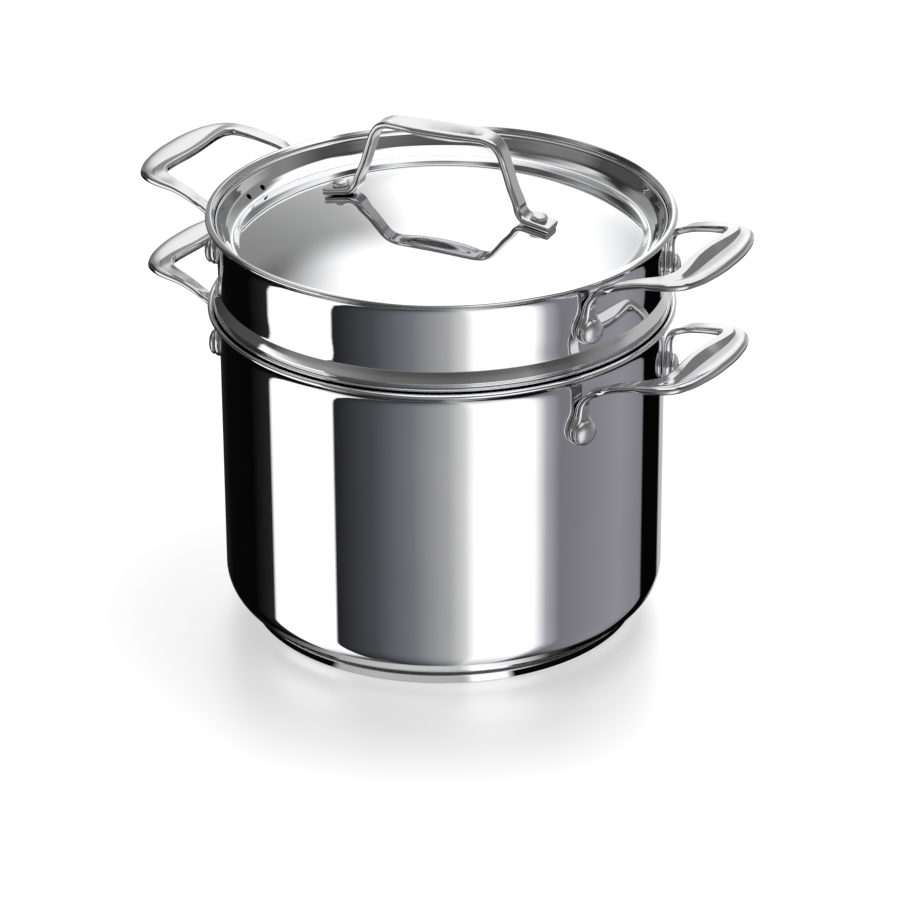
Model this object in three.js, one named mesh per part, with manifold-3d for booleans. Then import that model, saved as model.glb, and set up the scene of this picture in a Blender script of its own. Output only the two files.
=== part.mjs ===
// Pasta pot: deep pot, lift-out strainer insert, domed lid. Millimetres, +Z up,
// origin at the centre of the base's underside, +X along the pot's two handles.
import * as THREE from 'three';
import { mergeVertices } from 'three/addons/utils/BufferGeometryUtils.js';
import Module from 'manifold-3d';

const wasm = await Module();
wasm.setup();

// ------------------------------------------------------------------ driving dimensions
const SEGMENTS = 36;            // sides of every turned piece
const SHEET = 1.2;              // sheet thickness of pot and insert
const BODY_R = 110;             // outer radius of the pot wall and of the insert's upper wall
const LIP_R = 115.6;            // outer radius of both flared rims
const POT_LIP_Z = 162.3;        // height of the pot rim's widest point
const INSERT_LIP_Z = 209.3;     // height of the insert rim's widest point
const CORNER_R = 16;            // pot's bottom corner radius
const POT_FLOOR_Z = 6.4;        // underside of the pot's floor
const CAP_R = 98.6;             // base cap radius
const CAP_H = 5.2;              // base cap height
const BASKET_R = 103.5;         // strainer basket radius
const BASKET_FLOOR_Z = 40;      // underside of the basket's floor
const BASKET_CORNER_R = 11.5;
const HOLE_R = 1.6;               // strainer hole radius
const HOLE_ROWS = [70, 95, 120];
const HOLES_PER_ROW = 24;
const FLOOR_RINGS = [[0, 1], [26, 6], [52, 12]];
const LID_TOP_Z = 214.8;        // crown of the lid
const LID_DOME_R = 304;         // radius of curvature of the lid's dome
const LID_SHEET = 1.0;
const VENT_R = 1.6;             // steam vent radius
const VENT_ANGLES = [179.2, 186.6];
const LUG_ANGLE = 22.8;         // half angle between the two lugs of a side handle
const LUG_MID_R = 112.3;        // radius of a lug's mid plane
const STRAP_T = 4;              // strap thickness of a side handle
const POT_RIVET_Z = 133;        // height of the pot's rivets
const INSERT_RIVET_Z = 184.6;   // height of the insert's rivets
const INSERT_TURN = 2;          // the insert sits turned this far in the pot, degrees
const LID_TURN = 6;             // and the lid this far
const LID_STRAP_T = 3.6;        // strap thickness of the lid handle
const LID_RIVET_X = 52.8;       // distance of the lid rivets from the axis
const GAP = 0.3;                // clearance kept between pieces that touch

// ------------------------------------------------------------------ helpers
const rad = THREE.MathUtils.degToRad;

function cleaned(geometry) {
  geometry.deleteAttribute('normal');
  geometry.deleteAttribute('uv');
  const merged = mergeVertices(geometry, 1e-4);
  const index = merged.index.array;
  const kept = [];
  for (let i = 0; i < index.length; i += 3) {
    const [a, b, c] = [index[i], index[i + 1], index[i + 2]];
    if (a !== b && b !== c && a !== c) kept.push(a, b, c);
  }
  const p = merged.attributes.position;
  const va = new THREE.Vector3(), vb = new THREE.Vector3(), vc = new THREE.Vector3();
  let volume = 0;
  for (let i = 0; i < kept.length; i += 3) {
    va.fromBufferAttribute(p, kept[i]);
    vb.fromBufferAttribute(p, kept[i + 1]);
    vc.fromBufferAttribute(p, kept[i + 2]);
    volume += va.dot(vb.cross(vc));
  }
  if (volume < 0) for (let i = 0; i < kept.length; i += 3) [kept[i + 1], kept[i + 2]] = [kept[i + 2], kept[i + 1]];
  merged.setIndex(kept);
  return merged;
}

function toSolid(geometry) {
  const g = cleaned(geometry);
  return new wasm.Manifold(new wasm.Mesh({
    numProp: 3,
    vertProperties: new Float32Array(g.attributes.position.array),
    triVerts: new Uint32Array(g.index.array),
  }));
}

function fromSolid(solid) {
  const m = solid.getMesh();
  const g = new THREE.BufferGeometry();
  g.setAttribute('position', new THREE.BufferAttribute(new Float32Array(m.vertProperties), 3));
  g.setIndex(new THREE.BufferAttribute(new Uint32Array(m.triVerts), 1));
  return g;
}

function turned(profile, segments = SEGMENTS) {
  const g = new THREE.LatheGeometry(profile.map(([r, z]) => new THREE.Vector2(r, z)), segments);
  g.rotateX(Math.PI / 2);
  return cleaned(g);
}

function arc(cx, cz, r, from, to, steps) {
  const out = [];
  for (let i = 0; i <= steps; i++) {
    const a = rad(from + (to - from) * i / steps);
    out.push([cx + r * Math.cos(a), cz + r * Math.sin(a)]);
  }
  return out;
}

// cubic through unevenly spaced knots, one row of values per knot
function spline(t, knots, rows) {
  const n = knots.length;
  const slope = (i, k) => {
    if (i === 0) return (rows[1][k] - rows[0][k]) / (knots[1] - knots[0]);
    if (i === n - 1) return (rows[n - 1][k] - rows[n - 2][k]) / (knots[n - 1] - knots[n - 2]);
    const h0 = knots[i] - knots[i - 1], h1 = knots[i + 1] - knots[i];
    return ((rows[i][k] - rows[i - 1][k]) / h0 * h1 + (rows[i + 1][k] - rows[i][k]) / h1 * h0) / (h0 + h1);
  };
  let i = 0;
  while (i < n - 2 && t > knots[i + 1]) i++;
  const h = knots[i + 1] - knots[i], u = (t - knots[i]) / h;
  return rows[0].map((_, k) =>
    (2 * u ** 3 - 3 * u ** 2 + 1) * rows[i][k] + (u ** 3 - 2 * u ** 2 + u) * h * slope(i, k) +
    (-2 * u ** 3 + 3 * u ** 2) * rows[i + 1][k] + (u ** 3 - u ** 2) * h * slope(i + 1, k));
}

// one section of a strap between its two edges, with rounded edges and a dish in the top
function strapSection(a, b, normal, thickness, dish) {
  const A = new THREE.Vector3(...a), B = new THREE.Vector3(...b), N = new THREE.Vector3(...normal);
  const E = B.clone().sub(A);
  const L = E.length();
  E.normalize();
  N.addScaledVector(E, -N.dot(E)).normalize();
  const h = thickness / 2, r = Math.min(h, L * 0.45);
  const at = (x, y) => A.clone().addScaledVector(E, x).addScaledVector(N, y);
  const dip = (s) => -dish * Math.sin(Math.PI * Math.min(1, Math.max(0, (s - 0.2) / 0.76))) ** 2;
  const out = [];
  for (const s of [0, 0.5, 1]) out.push(at(r + s * (L - 2 * r), h + dip(s)));
  for (const d of [45, 0, -45]) out.push(at(L - r + r * Math.cos(rad(d)), h * Math.sin(rad(d))));
  for (const s of [1, 0.5, 0]) out.push(at(r + s * (L - 2 * r), -h + 0.9 * dip(s)));
  for (const d of [225, 180, 135]) out.push(at(r + r * Math.cos(rad(d)), h * Math.sin(rad(d))));
  return out;
}

// stations: [edge a, edge b, top normal, thickness, dish] from one end to the middle
function strap(stations, steps, mirrorAxis) {
  const mids = stations.map(([a, b]) => new THREE.Vector3(...a).add(new THREE.Vector3(...b)).multiplyScalar(0.5));
  const knots = [0];
  for (let i = 1; i < mids.length; i++) knots.push(knots[i - 1] + mids[i].distanceTo(mids[i - 1]));
  const rows = stations.map(([a, b, n, t, d]) => [...a, ...b, ...n, t, d]);
  const sections = [];
  for (let i = 0; i <= steps; i++) {
    const v = spline(knots[knots.length - 1] * i / steps, knots, rows);
    sections.push(strapSection(v.slice(0, 3), v.slice(3, 6), v.slice(6, 9), v[9], Math.max(0, v[10])));
  }
  for (let i = steps - 1; i >= 0; i--) {
    sections.push(sections[i].map((p) => {
      const q = p.clone();
      q[mirrorAxis] *= -1;
      return q;
    }));
  }
  const m = sections[0].length, n = sections.length;
  const position = [], index = [];
  for (const s of sections) for (const p of s) position.push(p.x, p.y, p.z);
  for (let i = 0; i < n - 1; i++) {
    for (let j = 0; j < m; j++) {
      const a = i * m + j, b = i * m + (j + 1) % m;
      index.push(a, b, b + m, a, b + m, a + m);
    }
  }
  for (const [row, flip] of [[0, true], [n - 1, false]]) {
    const contour = sections[row].map((p, j) => row * m + j);
    const c = new THREE.Vector3();
    for (const p of sections[row]) c.addScaledVector(p, 1 / m);
    const centre = position.length / 3;
    position.push(c.x, c.y, c.z);
    for (let j = 0; j < m; j++) {
      const a = contour[j], b = contour[(j + 1) % m];
      if (flip) index.push(centre, b, a); else index.push(centre, a, b);
    }
  }
  const g = new THREE.BufferGeometry();
  g.setAttribute('position', new THREE.Float32BufferAttribute(position, 3));
  g.setIndex(index);
  return cleaned(g);
}

// a short prism used to cut a round hole, along dir through point
function drill(point, dir, radius, length, sides) {
  const g = new THREE.CylinderGeometry(radius, radius, length, sides);
  const q = new THREE.Quaternion().setFromUnitVectors(new THREE.Vector3(0, 1, 0), dir.clone().normalize());
  g.applyQuaternion(q);
  g.translate(point.x, point.y, point.z);
  return toSolid(g);
}

const onRing = (r, deg, z) => new THREE.Vector3(r * Math.cos(rad(deg)), r * Math.sin(rad(deg)), z);

// ------------------------------------------------------------------ materials
const polished = () => new THREE.MeshStandardMaterial({ color: 0xc9cbcf, roughness: 0.08, metalness: 1 });
const castSteel = () => new THREE.MeshStandardMaterial({ color: 0xc2c3c6, roughness: 0.14, metalness: 1 });
const satin = () => new THREE.MeshStandardMaterial({ color: 0xb4b3b4, roughness: 0.35, metalness: 1 });
const aluminium = () => new THREE.MeshStandardMaterial({ color: 0xb8babd, roughness: 0.45, metalness: 1 });

const model = new THREE.Group();
const pot = new THREE.Group();
const insert = new THREE.Group();
const lid = new THREE.Group();
model.add(pot, insert, lid);

function put(group, name, geometry, material) {
  const mesh = new THREE.Mesh(geometry, material);
  mesh.name = name;
  group.add(mesh);
  return mesh;
}

// ------------------------------------------------------------------ flared rims: offsets from the widest point of
// the lip, from the wall up the outside, over the lip and down the inside to the wall
const rim = (lipZ, offsets) => offsets.map(([r, z]) => [LIP_R + r, lipZ + z]);
const potRim = rim(POT_LIP_Z, [
  [-5.6, -9.8], [-5.4, -6.5], [-4.55, -4.0], [-3.2, -2.3], [-1.5, -1.4], [-0.2, -0.65], [0, 0], [-0.6, 0.95], [-1.4, 1.25],
  [-2.7, 0.8], [-4.4, -0.3], [-5.6, -1.7], [-6.4, -3.6], [-6.75, -5.8], [-6.8, -9.8],
]);
const insertRim = rim(INSERT_LIP_Z, [
  [-5.6, -11.8], [-5.4, -8.3], [-4.85, -6.0], [-3.7, -3.9], [-2.2, -2.1], [-0.6, -0.75], [0, 0], [-0.5, 1.05], [-1.4, 1.45],
  [-2.2, 1.3], [-3.3, 0.4], [-4.4, -0.8], [-4.9, -2.3], [-5.5, -4.1], [-6.2, -6.5], [-6.7, -9.3], [-6.8, -11.8],
]);

// the four lug positions of a vessel, degrees about its axis
const lugs = [
  ['right_front', -LUG_ANGLE], ['right_back', LUG_ANGLE],
  ['left_back', 180 - LUG_ANGLE], ['left_front', 180 + LUG_ANGLE],
];
const SHANK_R = 1.6;
const SHANK_HOLE_R = 1.95;

function drillLugs(solid, z, turn) {
  for (const [, deg] of lugs) {
    const dir = onRing(1, deg + turn, 0);
    solid = solid.subtract(drill(onRing(LUG_MID_R - 2, deg + turn, z), dir, SHANK_HOLE_R, 14, 10));
  }
  return solid;
}

// ------------------------------------------------------------------ pot body and base
const cornerZ = POT_FLOOR_Z + CORNER_R;
const cornerX = BODY_R - CORNER_R;
const potProfile = [
  [0, POT_FLOOR_Z],
  ...arc(cornerX, cornerZ, CORNER_R, -90, 0, 5),
  ...potRim,
  ...arc(cornerX, cornerZ, CORNER_R - SHEET, 0, -90, 5),
  [0, POT_FLOOR_Z + SHEET],
];
put(pot, 'pot_body', fromSolid(drillLugs(toSolid(turned(potProfile)), POT_RIVET_Z, 0)), polished());

put(pot, 'base_core', turned([[0, 1.4], [95.4, 1.4], [95.4, POT_FLOOR_Z - 0.4], [0, POT_FLOOR_Z - 0.4]]), aluminium());
put(pot, 'base_cap', turned([
  [0, 0], [CAP_R - 1.9, 0], [CAP_R - 1.05, 0.45], [CAP_R + 0.45, CAP_H - 0.5], [CAP_R + 0.3, CAP_H - 0.05],
  [CAP_R - 0.5, CAP_H], [CAP_R - 1.0, CAP_H - 0.8], [CAP_R - 2.1, 1.2], [CAP_R - 2.3, 1.0], [0, 1.0],
]), polished());

// ------------------------------------------------------------------ side handles
function lugPoint(p, q) {
  const a = rad(LUG_ANGLE);
  return [LUG_MID_R * Math.cos(a) - p * Math.sin(a), LUG_MID_R * Math.sin(a) + p * Math.cos(a), q];
}

function sideHandleGeometry() {
  const a = rad(LUG_ANGLE);
  const stations = [];
  const inward = [-Math.cos(a), -Math.sin(a), 0];
  for (const [q, w] of [[-7.1, 1.9], [-6.5, 3.4], [-5.0, 5.3], [-2.5, 6.9], [0, 7.3], [2.6, 6.8], [5.4, 5.4], [8.0, 4.2], [10.5, 3.6]]) {
    stations.push([lugPoint(-w, q), lugPoint(w, q), inward, STRAP_T, 0]);
  }
  // the strap bends outward over a radius of about 10 mm
  const c0 = lugPoint(0, 10.5), d = [0.955, -0.297], bendR = 10, bendRise = 11;
  for (const [deg, w] of [[20, 3.4], [38, 3.3], [56, 3.3], [74, 3.45]]) {
    const t = rad(deg), f = deg / 74;
    const across = new THREE.Vector2(-Math.sin(a) * (1 - f) + 0.25 * f, Math.cos(a) * (1 - f) + 0.968 * f).normalize();
    const x = c0[0] + d[0] * bendR * (1 - Math.cos(t)), y = c0[1] + d[1] * bendR * (1 - Math.cos(t));
    const z = c0[2] + bendRise * Math.sin(t);
    stations.push([[x - across.x * w, y - across.y * w, z], [x + across.x * w, y + across.y * w, z],
      [-Math.cos(t) * d[0], -Math.cos(t) * d[1], Math.sin(t)], 3.5, 0]);
  }
  // arm and half of the grip: inner edge, outer edge, dish depth
  for (const [inner, outer, t, dish] of [
    [[114.9, 37.4, 23.1], [115.6, 44.9, 23.6], 3.3, 0],
    [[121.2, 35.9, 25.3], [121.2, 44.5, 25.6], 3.2, 0],
    [[128.2, 34.4, 27.2], [128.2, 43.8, 27.2], 3.4, 0],
    [[134.4, 33.1, 28.6], [136.0, 43.2, 27.9], 4.0, 0],
    [[137.8, 31.6, 29.4], [143.3, 41.5, 28.4], 4.6, 0],
    [[139.6, 28.5, 29.8], [149.4, 37.8, 28.7], 4.8, 0.7],
    [[140.0, 22.9, 30.0], [154.3, 29.4, 29.0], 4.9, 1.6],
    [[139.6, 14.9, 30.1], [157.3, 18.2, 29.3], 4.9, 2.4],
    [[139.1, 7.2, 30.1], [158.6, 8.6, 29.4], 4.9, 2.8],
    [[138.9, 0.0, 30.1], [158.8, 0.0, 29.4], 4.9, 2.9],
  ]) {
    stations.push([inner, outer, dish > 0.2 ? [-0.05, 0, 1] : [-0.25, 0, 1], t, dish]);
  }
  return strap(stations, 20, 'y');
}

function sideHandles(group, prefix, z, turn) {
  const base = sideHandleGeometry();
  for (const [side, deg] of [['right', 0], ['left', 180]]) {
    const g = base.clone();
    g.translate(0, 0, z);
    g.rotateZ(rad(deg + turn));
    put(group, `${prefix}_handle_${side}`, fromSolid(drillLugs(toSolid(g), z, turn)), castSteel());
  }
}

function turnedRivet(profile, point, dir, sides) {
  const g = turned(profile, sides);
  g.applyQuaternion(new THREE.Quaternion().setFromUnitVectors(new THREE.Vector3(0, 0, 1), dir.clone().normalize()));
  g.translate(point.x, point.y, point.z);
  return g;
}

// rivet profile: inner head, shank through wall and lug, domed outer head (radius, distance from the axis)
const lugFace = LUG_MID_R + STRAP_T / 2 + GAP;
const wallFace = BODY_R - SHEET - 0.8;
const rivetProfile = [
  [0, wallFace - 1.6], [4.2, wallFace - 1.6], [5, wallFace - 0.9], [5, wallFace], [SHANK_R, wallFace],
  [SHANK_R, lugFace], [6.3, lugFace], [6.4, lugFace + 0.6], [5.4, lugFace + 1.8], [3.2, lugFace + 2.7], [0, lugFace + 3.1],
];
function rivets(group, prefix, z, turn) {
  for (const [name, deg] of lugs) {
    const dir = onRing(1, deg + turn, 0);
    put(group, `${prefix}_rivet_${name}`, turnedRivet(rivetProfile, new THREE.Vector3(0, 0, z), dir, 10), satin());
  }
}

sideHandles(pot, 'pot', POT_RIVET_Z, 0);
rivets(pot, 'pot', POT_RIVET_Z, 0);

// ------------------------------------------------------------------ insert
const basketInner = BASKET_R - SHEET;
const basketCornerX = BASKET_R - BASKET_CORNER_R;
const basketCornerZ = BASKET_FLOOR_Z + BASKET_CORNER_R;
const insertProfile = [
  [0, BASKET_FLOOR_Z],
  ...arc(basketCornerX, basketCornerZ, BASKET_CORNER_R, -90, 0, 3),
  [BASKET_R, 151], [103.95, 155.6], [105.4, 158.2], [107.4, 160.2], [109.2, 161.4], [110.8, 162.5], [112.0, 163.5],
  [112.8, 164.7], [112.0, 165.4], [110.2, 165.85], [109.8, 166.3], [110.7, 167.1], [111.9, 167.45], [112.1, 167.9],
  [111.5, 169.6], [110.1, 172.7], [109.8, 174.2], [109.9, 179], [BODY_R, 185],
  ...insertRim,
  [BODY_R - SHEET, 185], [108.6, 177], [108.6, 174.5], [109.0, 170.2], [109.0, 168.0],
  [108.7, 165.8], [108.0, 163.9], [105.8, 160.9], [104.2, 159.0], [102.75, 155.8], [basketInner, 151],
  ...arc(basketCornerX, basketCornerZ, BASKET_CORNER_R - SHEET, 0, -90, 3),
  [0, BASKET_FLOOR_Z + SHEET],
];
let insertSolid = drillLugs(toSolid(turned(insertProfile)), INSERT_RIVET_Z, INSERT_TURN);
HOLE_ROWS.forEach((z, row) => {
  for (let i = 0; i < HOLES_PER_ROW; i++) {
    const deg = (i + 0.5 * (row % 2) + 0.25) * 360 / HOLES_PER_ROW;
    insertSolid = insertSolid.subtract(drill(onRing(BASKET_R - SHEET / 2, deg, z), onRing(1, deg, 0), HOLE_R, 6, 6));
  }
});
for (const [r, count] of FLOOR_RINGS) {
  for (let i = 0; i < count; i++) {
    insertSolid = insertSolid.subtract(drill(onRing(r, 360 * i / count + 4, BASKET_FLOOR_Z + SHEET / 2), new THREE.Vector3(0, 0, 1), HOLE_R, 6, 6));
  }
}
put(insert, 'insert_shell', fromSolid(insertSolid), polished());
sideHandles(insert, 'insert', INSERT_RIVET_Z, INSERT_TURN);
rivets(insert, 'insert', INSERT_RIVET_Z, INSERT_TURN);

// ------------------------------------------------------------------ lid
const dome = (r) => LID_TOP_Z - r * r / (2 * LID_DOME_R);
const domeOut = [22, 44, 63, 80, 91, 99];
const lidProfile = [
  [0, dome(0)], ...domeOut.map((r) => [r, dome(r)]),
  [100.6, 197.95], [101.9, 197.6], [103.0, 197.9], [104.2, 198.75], [106.6, 201.0], [107.3, 201.95], [108.3, 204.4],
  [109.2, 206.6], [109.8, 207.4], [110.3, 207.5], [110.4, 207.1], [109.95, 206.55], [109.5, 205.5], [108.7, 203.4],
  [108.0, 201.7], [107.3, 200.5], [104.7, 197.9], [103.4, 196.95], [101.9, 196.55], [100.5, 196.9],
  ...domeOut.slice().reverse().map((r) => [r, dome(r) - LID_SHEET]), [0, dome(0) - LID_SHEET],
];
let lidSolid = toSolid(turned(lidProfile));
for (const deg of VENT_ANGLES) {
  const dir = onRing(-0.68, deg, 0.733);
  lidSolid = lidSolid.subtract(drill(onRing(105.4, deg, 199.5), dir, VENT_R, 5, 8));
}

// lid handle: strap along X before the lid's turn
function lidHandleGeometry() {
  const s = [];
  const half = LID_STRAP_T / 2;
  const P = (x, z, w, nx, nz, dish) => s.push([[x, -w, z], [x, w, z], [nx, 0, nz], LID_STRAP_T, dish]);
  for (const [x, w] of [[-61.6, 3.8], [-61.2, 5.2], [-60.4, 6.0], [-57, 6.2], [-51, 6.1], [-48.4, 5.9]]) {
    P(x, dome(x) + GAP + half, w, x / LID_DOME_R, 1, 0);
  }
  P(-45.9, dome(45.9) + GAP + half + 0.7, 5.6, -0.5, 1, 0);
  P(-43.9, dome(44) + GAP + half + 2.8, 5.3, -0.9, 0.5, 0);
  P(-42.7, dome(44) + GAP + half + 7.0, 5.0, -1, 0.28, 0);
  P(-40.0, 228.0, 4.6, -1, 0.31, 0);
  P(-36.9, 238.5, 4.6, -1, 0.31, 0);
  P(-34.5, 245.6, 5.0, -0.95, 0.42, 0);
  P(-31.5, 249.6, 5.5, -0.6, 0.8, 0);
  P(-27.3, 251.5, 6.2, -0.2, 1, 0.1);
  P(-20.8, 252.0, 7.0, -0.05, 1, 0.9);
  P(-14.0, 252.0, 7.7, 0, 1, 2.0);
  P(-7.0, 252.0, 8.1, 0, 1, 2.7);
  P(0.0, 252.0, 8.2, 0, 1, 2.9);
  return strap(s, 18, 'x');
}

// rivet profile along the lid's normal: under-head, shank, low domed head (0 = lid surface)
const footTop = GAP + LID_STRAP_T + GAP;
const lidRivetProfile = [
  [0, -2.7], [3.2, -2.7], [3.7, -2.1], [3.7, -LID_SHEET - 0.5], [1.5, -LID_SHEET - 0.5], [1.5, footTop],
  [4.2, footTop], [4.3, footTop + 0.5], [3.4, footTop + 1.3], [1.9, footTop + 1.8], [0, footTop + 2.0],
];
let handleSolid = toSolid(lidHandleGeometry());
const lidTurn = new THREE.Matrix4().makeRotationZ(rad(LID_TURN));
const rivetGeometry = {};
for (const [side, sign] of [['right', 1], ['left', -1]]) {
  const dir = new THREE.Vector3(sign * LID_RIVET_X / LID_DOME_R, 0, 1).normalize();
  const point = new THREE.Vector3(sign * LID_RIVET_X, 0, dome(LID_RIVET_X));
  handleSolid = handleSolid.subtract(drill(point, dir, 1.95, 14, 10));
  const turnedPoint = point.clone().applyMatrix4(lidTurn), turnedDir = dir.clone().applyMatrix4(lidTurn);
  lidSolid = lidSolid.subtract(drill(turnedPoint, turnedDir, 1.95, 6, 10));
  rivetGeometry[side] = turnedRivet(lidRivetProfile, turnedPoint, turnedDir, 10);
}
put(lid, 'lid_disc', fromSolid(lidSolid), polished());
const lidHandle = fromSolid(handleSolid);
lidHandle.applyMatrix4(lidTurn);
put(lid, 'lid_handle', lidHandle, castSteel());
for (const side of ['right', 'left']) put(lid, `lid_rivet_${side}`, rivetGeometry[side], satin());

export default model;
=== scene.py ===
"""Pasta pot: pot, lift-out strainer insert and domed lid in polished stainless steel.
Works in millimetres inside the builders and writes metres to the meshes."""
import math

import bpy
import bmesh
import numpy as np
from mathutils import Matrix, Vector


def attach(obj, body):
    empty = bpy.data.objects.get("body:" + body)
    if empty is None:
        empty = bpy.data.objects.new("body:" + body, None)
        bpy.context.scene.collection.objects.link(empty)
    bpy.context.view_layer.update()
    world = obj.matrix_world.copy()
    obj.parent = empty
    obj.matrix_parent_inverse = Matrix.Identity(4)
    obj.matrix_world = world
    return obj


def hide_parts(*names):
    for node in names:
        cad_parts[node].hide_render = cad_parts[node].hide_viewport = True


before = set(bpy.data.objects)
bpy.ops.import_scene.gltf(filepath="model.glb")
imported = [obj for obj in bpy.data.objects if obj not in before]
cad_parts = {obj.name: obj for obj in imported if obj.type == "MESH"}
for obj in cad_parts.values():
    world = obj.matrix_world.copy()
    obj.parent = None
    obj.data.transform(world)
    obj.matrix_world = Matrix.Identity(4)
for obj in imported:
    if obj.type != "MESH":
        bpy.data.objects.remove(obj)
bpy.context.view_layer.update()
MM = 0.001
rad = math.radians

# ------------------------------------------------------------------ sizes, the same as the CAD's
SHEET = 1.2
BODY_R = 110.0
FLARE_CX = 116.0
POT_FLARE_Z = 156.8
INSERT_FLARE_Z = 202.0
CORNER_R = 16.0
POT_FLOOR_Z = 6.4
CAP_R = 98.6
CAP_H = 5.2
BASKET_R = 103.5
BASKET_FLOOR_Z = 40.0
BASKET_CORNER_R = 11.5
LID_TOP_Z = 214.8
LID_DOME_R = 304.0
LID_SHEET = 1.0
LUG_ANGLE = 22.8
LUG_MID_R = 112.3
STRAP_T = 4.0
POT_RIVET_Z = 133.0
INSERT_RIVET_Z = 184.6
INSERT_TURN = 2.0
LID_TURN = 6.0
LID_STRAP_T = 3.6
LID_RIVET_X = 52.5
LID_HANDLE_X = -1.3            # the lid handle sits this far off the middle along its own length
GAP = 0.3
SEG = 288                      # sides of a turned piece
CAM_AZ = 31.0                  # the photograph's direction, degrees from -Y towards +X

# ------------------------------------------------------------------ camera of the photograph
pitch, distance, aim_z, roll = 0.4509, 2.109034, 0.079677, 0.0068
a = rad(CAM_AZ)
toward = Vector((math.sin(a), -math.cos(a), 0.0))
right = Vector((math.cos(a), math.sin(a), 0.0))
eye = toward * (distance * math.cos(pitch)) + Vector((0, 0, aim_z + distance * math.sin(pitch)))
ahead = (-toward * math.cos(pitch) + Vector((0, 0, -math.sin(pitch)))).normalized()
up = right.cross(ahead).normalized()
cam_x = right * math.cos(roll) - up * math.sin(roll)
cam_y = right * math.sin(roll) + up * math.cos(roll)
cam_data = bpy.data.cameras.new("photo_camera")
cam = bpy.data.objects.new("photo_camera", cam_data)
bpy.context.scene.collection.objects.link(cam)
cam.matrix_world = Matrix.Translation(eye) @ Matrix((cam_x, cam_y, -ahead)).transposed().to_4x4()
cam_data.sensor_fit = "HORIZONTAL"
cam_data.sensor_width = 36.0
cam_data.lens = 4203.39 / 900.0 * 36.0
cam_data.shift_x = 6.92 / 900.0
cam_data.clip_end = 50.0
bpy.context.scene.camera = cam


# ------------------------------------------------------------------ node helpers
class Nodes:
    """A short way to add nodes and links to a tree."""

    def __init__(self, tree):
        self.t = tree

    def add(self, kind, **sets):
        n = self.t.nodes.new(kind)
        for k, v in sets.items():
            setattr(n, k, v)
        return n

    def link(self, out, into):
        self.t.links.new(out, into)

    def put(self, socket, value):
        if isinstance(value, bpy.types.NodeSocket):
            self.link(value, socket)
        else:
            socket.default_value = value

    def math(self, op, *vals, clamp=False):
        n = self.add("ShaderNodeMath", operation=op, use_clamp=clamp)
        for s, v in zip(n.inputs, vals):
            self.put(s, v)
        return n.outputs[0]

    def dot(self, vec, const):
        n = self.add("ShaderNodeVectorMath", operation="DOT_PRODUCT")
        self.put(n.inputs[0], vec)
        n.inputs[1].default_value = const
        return n.outputs["Value"]

    def noise(self, vec, scale, detail=2.0, rough=0.5):
        n = self.add("ShaderNodeTexNoise")
        self.put(n.inputs["Vector"], vec)
        n.inputs["Scale"].default_value = scale
        n.inputs["Detail"].default_value = detail
        n.inputs["Roughness"].default_value = rough
        return n.outputs["Fac"]

    def span(self, value, a0, a1, b0, b1, smooth=False):
        n = self.add("ShaderNodeMapRange")
        n.clamp = True
        if smooth:
            n.interpolation_type = "SMOOTHSTEP"
        self.put(n.inputs["Value"], value)
        n.inputs["From Min"].default_value = a0
        n.inputs["From Max"].default_value = a1
        n.inputs["To Min"].default_value = b0
        n.inputs["To Max"].default_value = b1
        return n.outputs["Result"]

    def ramp(self, fac, stops, interpolation="LINEAR"):
        n = self.add("ShaderNodeValToRGB")
        n.color_ramp.interpolation = interpolation
        els = n.color_ramp.elements
        while len(els) > 1:
            els.remove(els[-1])
        for i, (p, c) in enumerate(stops):
            e = els[0] if i == 0 else els.new(p)
            e.position = p
            e.color = (c[0], c[1], c[2], 1.0)
        self.put(n.inputs["Fac"], fac)
        return n.outputs["Color"]

    def mix(self, fac, c1, c2):
        n = self.add("ShaderNodeMix", data_type="RGBA")
        self.put(n.inputs[0], fac)
        self.put(n.inputs[6], c1)
        self.put(n.inputs[7], c2)
        return n.outputs[2]


# ------------------------------------------------------------------ materials
def turned_coords(k):
    """Coordinates that run along the lines a polishing wheel leaves on a turned piece."""
    tc = k.add("ShaderNodeTexCoord")
    sep = k.add("ShaderNodeSeparateXYZ")
    k.link(tc.outputs["Object"], sep.inputs[0])
    x, y, z = sep.outputs
    r = k.math("SQRT", k.math("ADD", k.math("MULTIPLY", x, x), k.math("MULTIPLY", y, y)))
    ang = k.math("ARCTAN2", y, x)
    comb = k.add("ShaderNodeCombineXYZ")
    k.link(r, comb.inputs[0])
    k.link(z, comb.inputs[1])
    k.link(k.math("MULTIPLY", ang, 0.004), comb.inputs[2])
    return tc.outputs["Object"], comb.outputs[0]


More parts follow.
